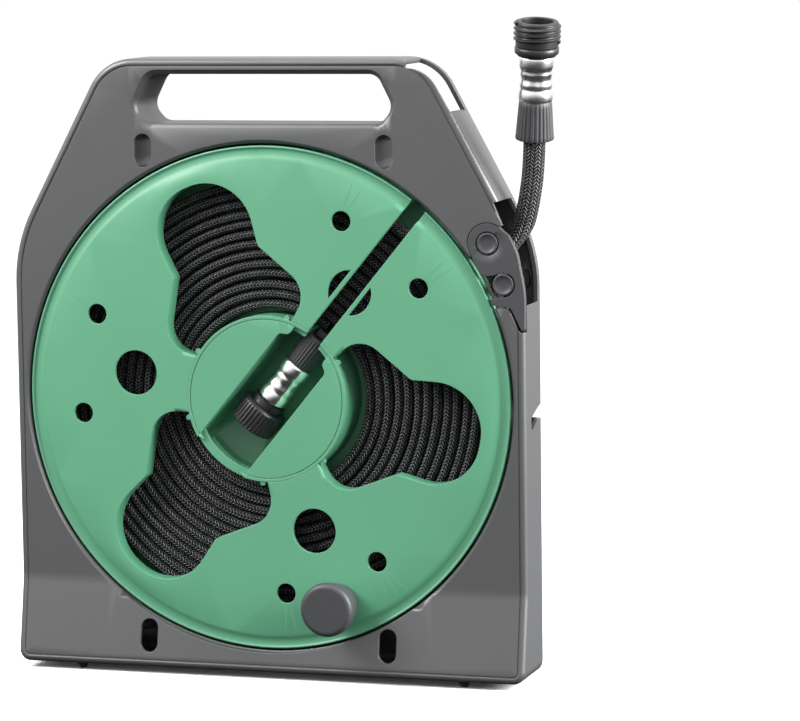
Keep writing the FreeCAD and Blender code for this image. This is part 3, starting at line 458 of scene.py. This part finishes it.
def hoseRings(path, widths, thicknesses):
    # rings of points along the path, with each ring's length along it and its corners' shares round it
    sides = hose["sides"]
    points, lengths, rounds = [], [], []
    travelled = 0.0
    wide = Vector(hose["across"]).normalized()
    for i, here in enumerate(path):
        before = path[max(i - 1, 0)]
        after = path[min(i + 1, len(path) - 1)]
        heading = (after - before).normalized()
        wide = (wide - heading * wide.dot(heading)).normalized()
        thick = heading.cross(wide)
        if i:
            travelled += (here - path[i - 1]).length
        lengths.append(travelled)
        flatness = 1 - thicknesses[i] / widths[i]
        power = 2 / (2 + hose["squareness"] * flatness)
        for k in range(sides):
            angle = 2 * math.pi * k / sides
            c, s = math.cos(angle), math.sin(angle)
            a = math.copysign(abs(c) ** power, c) * widths[i] / 2
            b = math.copysign(abs(s) ** power, s) * thicknesses[i] / 2
            points.append(here + wide * a + thick * b)
        loop = points[-sides:] + [points[-sides]]
        steps = [(loop[k + 1] - loop[k]).length for k in range(sides)]
        rounds.append([sum(steps[:k]) / sum(steps) for k in range(sides + 1)])
    return points, lengths, rounds


def hoseSkin(name, path, widths, thicknesses):
    # a closed tube along the path, with its lengths as a map for the sleeve
    sides = hose["sides"]
    points, lengths, rounds = hoseRings(path, widths, thicknesses)
    faces = []
    for i in range(len(path) - 1):
        for k in range(sides):
            nextK = (k + 1) % sides
            faces.append((i * sides + k, i * sides + nextK, (i + 1) * sides + nextK, (i + 1) * sides + k))
    faces.append(tuple(range(sides - 1, -1, -1)))
    faces.append(tuple((len(path) - 1) * sides + k for k in range(sides)))
    mesh = bpy.data.meshes.new(name)
    mesh.from_pydata([tuple(p) for p in points], [], faces)
    layer = mesh.uv_layers.new(name="braidMap")
    pitch = sleeve["strandPitch"] * mm
    for face in mesh.polygons:
        isEnd = face.loop_total > 4
        closesRing = not isEnd and max(v % sides for v in face.vertices) == sides - 1
        for loopIndex, vertex in zip(face.loop_indices, face.vertices):
            ring, k = divmod(vertex, sides)
            wrap = sides if closesRing and k == 0 else 0
            layer.data[loopIndex].uv = (lengths[ring] / pitch, sleeve["chevrons"] * rounds[ring][k + wrap])
    piece = bpy.data.objects.new(name, mesh)
    bpy.context.collection.objects.link(piece)
    mesh.materials.append(finishes["hoseBraid"])
    makeSmooth(piece, hose["smoothAngle"])
    return piece


# the route of the free end is the CAD tube's own list of points
freeEnd = {
    "route": ((138.4, 21.6, 79.0), (142.2, 21.5, 87.0), (147.0, 21.0, 94.0), (151.5, 19.6, 104.0),
              (155.0, 17.4, 117.0), (158.0, 15.5, 134.0), (159.4, 12.5, 151.0)),
    "stepsPerRun": 10,
    "flatUntil": 9.0,
    "roundFrom": 30.0,
}


def routeLine(name, route, steps):
    # the smooth line through a route's control points, as evenly read points
    data = bpy.data.curves.new(name, "CURVE")
    data.dimensions = "3D"
    spline = data.splines.new("NURBS")
    spline.points.add(len(route) - 1)
    for control, (x, y, z) in zip(spline.points, route):
        control.co = (*at(x, y, z), 1)
    spline.order_u = 3
    spline.use_endpoint_u = True
    spline.resolution_u = steps
    line = bpy.data.objects.new(name, data)
    bpy.context.collection.objects.link(line)
    bpy.context.view_layer.update()
    reading = bpy.data.meshes.new_from_object(line.evaluated_get(bpy.context.evaluated_depsgraph_get()))
    points = [v.co.copy() for v in reading.vertices]
    bpy.data.objects.remove(line)
    bpy.data.meshes.remove(reading)
    return points


def addFreeHose():
    line = routeLine("freeHoseLine", freeEnd["route"], freeEnd["stepsPerRun"])
    widths, thicknesses, travelled = [], [], 0.0
    for i, here in enumerate(line):
        travelled += (here - line[i - 1]).length / mm if i else 0.0
        share = (travelled - freeEnd["flatUntil"]) / (freeEnd["roundFrom"] - freeEnd["flatUntil"])
        share = min(1.0, max(0.0, share))
        blend = share * share * (3 - 2 * share)
        roundPart = hose["roundDiameter"] * blend
        widths.append((hose["flatWidth"] * (1 - blend) + roundPart) * mm)
        thicknesses.append((hose["flatThickness"] * (1 - blend) + roundPart) * mm)
    tube = hoseSkin("freeHoseBraid", line, widths, thicknesses)
    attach(tube, "housing")
    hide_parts("free_hose")
    return tube, line


freeHose, freeLine = addFreeHose()

run = {
    "knee": (132.9, 66.3),
    "y": 21.75,
    "reelRadius": 135.4,
    "stepsPerRun": 16,
}


def addHoseRun():
    # the flat stretch from the winding, between the rollers, to the free end
    kneeX, kneeZ = run["knee"]
    reach = math.hypot(kneeX, kneeZ)
    start = math.atan2(kneeZ, kneeX) - math.acos(run["reelRadius"] / reach)
    first = (run["reelRadius"] * math.cos(start), run["y"], run["reelRadius"] * math.sin(start))
    knee = (kneeX, run["y"], kneeZ)
    last = freeEnd["route"][0]
    middle = tuple((a + b) / 2 for a, b in zip(first, knee))
    line = routeLine("hoseRunLine", (first, middle, knee, last), run["stepsPerRun"])
    width = hose["flatWidth"] * mm
    thick = hose["flatThickness"] * mm
    piece = hoseSkin("hoseRunBraid", line, [width] * len(line), [thick] * len(line))
    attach(piece, "housing")
    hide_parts("hose_run")


addHoseRun()

winding = {
    "inner": 50.4,
    "outer": 131.8,
    "front": 12.6,
    "turns": 13.866,
    "endsShort": 0.999,  # turns by which the strip ends before the outer rim
    "stepsPerTurn": 64,
    "sideSlack": 0.7,
    "turnGap": 0.35,
    "sway": 0.5,
    "swayDrift": 2.4,
    "swayLean": 0.9,
    "settle": 0.25,
    "ripples": ((0.22, 2.3, 1.7), (0.16, 5.1, 1.0)),  # height in mm, waves round the reel, drift per turn
}


def addWinding():
    # one flat strip wound on itself, each turn a hose's thickness further out
    pitch = (winding["outer"] - winding["inner"]) / winding["turns"]
    count = int((winding["turns"] - winding["endsShort"]) * winding["stepsPerTurn"])
    middle = winding["front"] + hose["flatWidth"] / 2
    line = []
    for i in range(count + 1):
        turn = i / winding["stepsPerTurn"]
        angle = spokeAngle + 2 * math.pi * turn
        wobble = sum(size * math.sin(angle * waves + turn * drift) for size, waves, drift in winding["ripples"])
        radius = winding["inner"] + pitch * (turn + 0.5) + wobble
        lean = turn * winding["swayDrift"] + winding["swayLean"] * math.sin(angle)
        sway = winding["sway"] * (0.5 + 0.5 * math.sin(lean))
        line.append(at(radius * math.cos(angle), middle + sway - winding["settle"], radius * math.sin(angle)))
    width = (hose["flatWidth"] - winding["sideSlack"]) * mm
    thick = min(hose["flatThickness"], pitch - winding["turnGap"]) * mm
    piece = hoseSkin("hoseWindingBraid", line, [width] * len(line), [thick] * len(line))
    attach(piece, "reel")
    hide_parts("hose_winding")


addWinding()
print("hose is wound")


# turned pieces

def turnedPiece(name, rings, sides, closed=True):
    # rings of (radius, height) in mm, stacked from a circle; closed joins the last ring to the first
    bpy.ops.object.select_all(action="DESELECT")
    radius, height = rings[0]
    bpy.ops.mesh.primitive_circle_add(vertices=sides, radius=radius * mm, location=(0, 0, 0))
    piece = bpy.context.object
    piece.name = name
    piece.data.transform(Matrix.Translation((0, 0, height * mm)))
    edit()
    bpy.ops.mesh.select_all(action="SELECT")
    for nextRadius, nextHeight in rings[1:]:
        bpy.ops.mesh.extrude_region_move(TRANSFORM_OT_translate={"value": (0, 0, (nextHeight - height) * mm)})
        grow = nextRadius / radius
        bpy.ops.transform.resize(value=(grow, grow, 1), center_override=(0, 0, nextHeight * mm))
        radius, height = nextRadius, nextHeight
    bpy.ops.mesh.select_mode(type="EDGE")
    bpy.ops.mesh.select_all(action="DESELECT")
    bpy.ops.mesh.select_non_manifold()
    if closed:
        bpy.ops.mesh.bridge_edge_loops()
    else:
        bpy.ops.mesh.fill_holes(sides=0)
    bpy.ops.mesh.select_all(action="SELECT")
    bpy.ops.mesh.normals_make_consistent(inside=False)
    bpy.ops.mesh.select_mode(type="VERT")
    done()
    return piece


def shapeRadius(piece, share):
    # share(angle, radius in mm, height in mm) scales each point's distance from the axis
    for vertex in piece.data.vertices:
        x, y, z = vertex.co
        radius = math.hypot(x, y)
        if radius > 0:
            factor = share(math.atan2(y, x), radius / mm, z / mm)
            vertex.co.x = x * factor
            vertex.co.y = y * factor


def stand(piece, base, axis):
    # moves a piece made on the z axis to its place, in its mesh
    turn = Vector((0, 0, 1)).rotation_difference(axis).to_matrix().to_4x4()
    piece.data.transform(Matrix.Translation(base) @ turn)


def finishPiece(piece, finishName, body, smooth, replaced):
    piece.data.materials.clear()
    piece.data.materials.append(finishes[finishName])
    makeSmooth(piece, smooth)
    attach(piece, body)
    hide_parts(replaced)


def ribShare(ribs, depth, start, end, fadeLength=1.2):
    # narrow valleys along the axis, fading out at both ends
    def share(angle, radius, height):
        fadeIn = min(1.0, max(0.0, (height - start) / fadeLength))
        fadeOut = min(1.0, max(0.0, (end - height) / fadeLength))
        valley = (0.5 - 0.5 * math.cos(ribs * angle)) ** 3
        return 1 - depth * valley * (fadeIn * fadeOut)
    return share


collar = {
    "ribs": 26,
    "ribDepth": 0.055,
    "sides": 208,
    "taperSteps": 7,
    "smoothAngle": 40,
}


def addCollar(name, radii, length, bore, base, axis, body, replaced):
    # a soft-edged taper, ribbed along its length
    lowRadius, highRadius = radii
    steps = collar["taperSteps"]
    rings = [(bore, 0.6), (lowRadius - 0.9, 0.0), (lowRadius - 0.2, 0.25), (lowRadius, 0.9)]
    for i in range(1, steps):
        share = i / steps
        rings.append((lowRadius + (highRadius - lowRadius) * share, length * share))
    rings += [(highRadius, length - 0.8), (highRadius - 0.35, length - 0.15), (highRadius - 0.8, length),
              (bore, length)]
    piece = turnedPiece(name, rings, collar["sides"])
    outer = min(lowRadius, highRadius) - 1.5
    ribs = ribShare(collar["ribs"], collar["ribDepth"], -1.2, length - 1.4)
    shapeRadius(piece, lambda angle, radius, height: ribs(angle, radius, height) if radius > outer else 1.0)
    stand(piece, base, axis)
    finishPiece(piece, "trimPlastic", body, collar["smoothAngle"], replaced)
    return piece


ferrule = {
    "sides": 72,
    "bore": 5.6,
    "crimps": 8,
    "crimpDepth": 0.05,
    "crimpAt": 0.49,  # share of the length
    "crimpReach": 0.09,
    "smoothAngle": 50,
}


def addFerrule(name, radius, length, base, axis, body, replaced):
    # rolled bead, crimped waist and plain band, in three steps along the tube
    bore = ferrule["bore"]
    profile = ((bore, 0.0), (radius - 0.6, 0.0), (radius - 0.1, 0.5), (radius, 1.2), (radius, 0.2 * length),
               (radius - 0.55, 0.25 * length), (radius - 0.75, 0.29 * length), (radius - 0.4, 0.335 * length),
               (radius - 0.5, 0.4 * length), (radius - 0.9, 0.46 * length), (radius - 0.95, 0.52 * length),
               (radius - 0.55, 0.58 * length), (radius - 0.45, 0.63 * length), (radius - 0.85, 0.67 * length),
               (radius - 0.6, 0.71 * length), (radius - 0.1, 0.75 * length), (radius, 0.8 * length),
               (radius, 0.94 * length), (radius - 0.25, 0.98 * length), (radius - 0.7, length), (bore, length))
    piece = turnedPiece(name, profile, ferrule["sides"])

    def crimp(angle, distance, height):
        if distance < bore + 1:
            return 1.0
        along = math.exp(-((height / length - ferrule["crimpAt"]) / ferrule["crimpReach"]) ** 2)
        dimple = (0.5 - 0.5 * math.cos(ferrule["crimps"] * angle)) ** 2
        return 1 - ferrule["crimpDepth"] * along * dimple

    shapeRadius(piece, crimp)
    stand(piece, base, axis)
    finishPiece(piece, "ferruleChrome", body, ferrule["smoothAngle"], replaced)
    return piece


threadSteps = 48


def addThread(name, rootRadius, crestRadius, start, pitch, turns):
    # a thread's ridge: its section spun round the axis as it climbs
    bpy.ops.object.select_all(action="DESELECT")
    bpy.ops.mesh.primitive_plane_add(size=1, location=(0, 0, 0))
    ridge = bpy.context.object
    ridge.name = name
    height = pitch * 0.5
    section = ((rootRadius, -height * 0.9), (rootRadius, height * 0.9), (crestRadius, height * 0.22),
               (crestRadius, -height * 0.22))
    for index, (radius, rise) in zip((0, 1, 3, 2), section):  # a plane's corners in order round it
        ridge.data.vertices[index].co = (radius * mm, 0, (start + rise) * mm)
    screw = ridge.modifiers.new("climb", "SCREW")
    screw.axis = "Z"
    screw.angle = 2 * math.pi * turns
    screw.screw_offset = pitch * turns * mm
    screw.steps = int(threadSteps * turns)
    screw.render_steps = screw.steps
    screw.use_merge_vertices = False
    bpy.ops.object.modifier_apply(modifier="climb")
    edit()
    bpy.ops.mesh.select_all(action="SELECT")
    bpy.ops.mesh.remove_doubles(threshold=0.00001)
    bpy.ops.mesh.normals_make_consistent(inside=False)
    done()
    return ridge


def join(first, other):
    pick(first)
    other.select_set(True)
    bpy.ops.object.join()
    return bpy.context.object


plug = {
    "collar": 22.5,
    "collarRadii": (11.0, 9.3),
    "collarBore": 5.4,
    "ferrule": 26.0,
    "ferruleRadius": 9.7,
    "flange": 5.6,
    "flangeRadius": 12.5,
    "thread": 14.0,
    "threadRadius": 13.4,
    "threadDepth": 1.3,
    "threadPitch": 2.9,
    "threadTurns": 3.6,
    "bore": 6.5,
    "mouth": 9.1,
    "sides": 96,
    "smoothAngle": 35,
}
endAt = at(*freeEnd["route"][-1])
endAxis = (endAt - at(*freeEnd["route"][-2])).normalized()


def addEndFitting():
    flange, bore, mouth, top = plug["flangeRadius"], plug["bore"], plug["mouth"], plug["flange"]
    end = top + plug["thread"]
    root = plug["threadRadius"] - plug["threadDepth"]
    rings = ((bore, 0.0), (flange - 1.6, 0.0), (flange - 1.4, 1.0), (flange - 0.3, 1.3), (flange, 1.8),
             (flange, top - 1.1), (flange - 0.4, top - 0.5), (flange - 1.4, top - 0.1), (root, top + 0.1),
             (root, end - 0.9), (root - 0.7, end - 0.1), (root - 1.2, end), (mouth + 0.4, end), (mouth, end - 0.4),
             (mouth, top + 3.0), (bore, top + 3.0))
    body = turnedPiece("endFittingBody", rings, plug["sides"])
    ridge = addThread("endThread", root - 0.2, plug["threadRadius"] - 0.05, top + 2.4, plug["threadPitch"],
                      plug["threadTurns"])
    piece = join(body, ridge)
    piece.name = "endFittingThreaded"
    stand(piece, endAt + endAxis * (plug["collar"] + plug["ferrule"]) * mm, endAxis)
    finishPiece(piece, "blackPlastic", "housing", plug["smoothAngle"], "end_fitting")
    return piece


endCollar = addCollar("endCollarRibbed", plug["collarRadii"], plug["collar"], plug["collarBore"], endAt, endAxis,
                      "housing", "end_collar")
endFerrule = addFerrule("endFerruleCrimped", plug["ferruleRadius"], plug["ferrule"],
                        endAt + endAxis * plug["collar"] * mm, endAxis, "housing", "end_ferrule")
endFitting = addEndFitting()

inlet = {
    "depth": 14.6,
    "nutStart": -22.0,
    "nutLength": 15.0,
    "nutRibs": 34,
    "nutRibDepth": 0.06,
    "ribsFromTo": (0.2, 13.6),
    "ribsOutside": 12.9,
    "sidesPerRib": 8,
    "nutProfile": ((12.6, 0.0), (13.2, 0.0), (13.75, 0.45), (13.95, 1.2), (13.95, 4.0), (13.95, 8.0), (13.95, 12.6),
                   (13.7, 13.6), (13.0, 14.4), (12.0, 15.0), (7.6, 15.0), (7.6, 9.0), (12.75, 9.0), (12.75, 6.2),
                   (12.6, 6.1)),
    "nutThread": {"rootRadius": 12.7, "crestRadius": 11.9, "start": 1.6, "pitch": 2.2, "turns": 1.6},
    "smoothAngle": 35,
    "ringLength": 4.2,
    "ringGap": 0.4,
    "ferrule": 27.5,
    "ferruleRadius": 9.3,
    "collarEnd": 45.9,
    "collarRadii": (8.0, 9.2),
    "collarBore": 4.6,
}
inletAxis = Vector((math.cos(spokeAngle), 0, math.sin(spokeAngle)))


def addInlet():
    depth = inlet["depth"]
    nut = turnedPiece("swivelNutKnurled", inlet["nutProfile"], inlet["nutRibs"] * inlet["sidesPerRib"])
    ribs = ribShare(inlet["nutRibs"], inlet["nutRibDepth"], *inlet["ribsFromTo"])
    outside = inlet["ribsOutside"]
    shapeRadius(nut, lambda angle, radius, height: ribs(angle, radius, height) if radius > outside else 1.0)
    nut = join(nut, addThread("nutThread", **inlet["nutThread"]))
    nut.name = "swivelNutKnurled"
    stand(nut, alongSpoke(inlet["nutStart"], depth), inletAxis)
    finishPiece(nut, "blackPlastic", "inlet_nut", inlet["smoothAngle"], "swivel_nut")
    ferruleStart = inlet["nutStart"] + inlet["nutLength"] + inlet["ringLength"] + inlet["ringGap"]
    addFerrule("inletFerruleCrimped", inlet["ferruleRadius"], inlet["ferrule"], alongSpoke(ferruleStart, depth),
               inletAxis, "reel", "inner_ferrule")
    collarStart = ferruleStart + inlet["ferrule"]
    addCollar("inletCollarRibbed", inlet["collarRadii"], inlet["collarEnd"] - collarStart, inlet["collarBore"],
              alongSpoke(collarStart, depth), inletAxis, "reel", "inner_collar")


addInlet()
print("fittings are turned")

pin = {
    "sides": 64,
    "front": 0.4,  # mm behind the reel's face
    "gateAt": (134.2, 92.2),  # mm from the reel's axis
    "latchAt": (143.3, 68.9),
    "profile": ((0.9, 1.0), (2.4, 0.95), (3.7, 0.78), (4.5, 0.5), (4.9, 0.16), (5.3, 0.0), (5.75, 0.03), (6.05, 0.22),
                (6.2, 0.6), (6.2, 2.1), (4.0, 2.1), (4.0, 37.9)),
    "smoothAngle": 30,
}


def addPin(name, place, replaced):
    # a dished head with a raised rim on a long shaft
    x, z = place
    piece = turnedPiece(name, pin["profile"], pin["sides"], closed=False)
    stand(piece, at(x, pin["front"], z), Vector((0, 1, 0)))
    finishPiece(piece, "trimPlastic", "housing", pin["smoothAngle"], replaced)


addPin("gatePinDished", pin["gateAt"], "gate_pin")
addPin("latchPinDished", pin["latchAt"], "latch_pin")


# moulded pieces keep the exact shapes of the frame

moulded = {"mergeDistance": 0.000002, "smoothAngle": 25}


def carryOver(node, name, finishName, body, slotName):
    piece = bpy.data.objects.new(name, nodes[node].data.copy())
    bpy.context.collection.objects.link(piece)
    pick(piece)
    edit()
    bpy.ops.mesh.select_all(action="SELECT")
    bpy.ops.mesh.remove_doubles(threshold=moulded["mergeDistance"])
    done()
    finishPiece(piece, finishName, body, moulded["smoothAngle"], node)
    even = piece.modifiers.new("evenNormals", "WEIGHTED_NORMAL")
    even.keep_sharp = True
    pick(piece)
    bpy.ops.object.modifier_apply(modifier="evenNormals")
    piece.select_set(False)


carried = (  # node, piece, finish, body, slot
    ("front_shell", "frontShellMoulded", "housingPlastic", "housing", "housing_grey"),
    ("rear_shell", "rearShellMoulded", "housingPlastic", "housing", "housing_grey"),
    ("reel_front_flange", "frontFlangeMoulded", "reelPlastic", "reel", "reel_green"),
    ("reel_rear_flange", "rearFlangeMoulded", "reelPlastic", "reel", "reel_green"),
    ("reel_hub", "reelHubMoulded", "reelPlastic", "reel", "reel_green"),
    ("crank_knob", "crankKnobMoulded", "trimPlastic", "knob", "trim_grey"),
    ("hose_gate", "hoseGateMoulded", "gatePlastic", "gate", "housing_grey"),
    ("feet", "feetMoulded", "softRubber", "housing", "foot_rubber"),
    ("inner_stem", "inletStemTurned", "blackPlastic", "reel", "black_plastic"),
)
for row in carried:
    carryOver(*row)
print("moulded pieces are finished")

# small and hidden pieces stay as they are in the frame
nodeFinishes = {
    "shell_screws": "zincSteel",
    "flange_screws": "zincSteel",
    "axle_bush": "blackPlastic",
    "axle_washer": "zincSteel",
    "axle_screw": "zincSteel",
    "knob_pin": "zincSteel",
    "knob_clip": "zincSteel",
    "guide_roller_upper": "blackPlastic",
    "guide_roller_lower": "blackPlastic",
    "nut_washer": "softRubber",
    "inner_hose": "trimPlastic",
}
for nodeName, finishName in nodeFinishes.items():
    nodes[nodeName].data.materials.clear()
    nodes[nodeName].data.materials.append(finishes[finishName])

print("ready to finish")
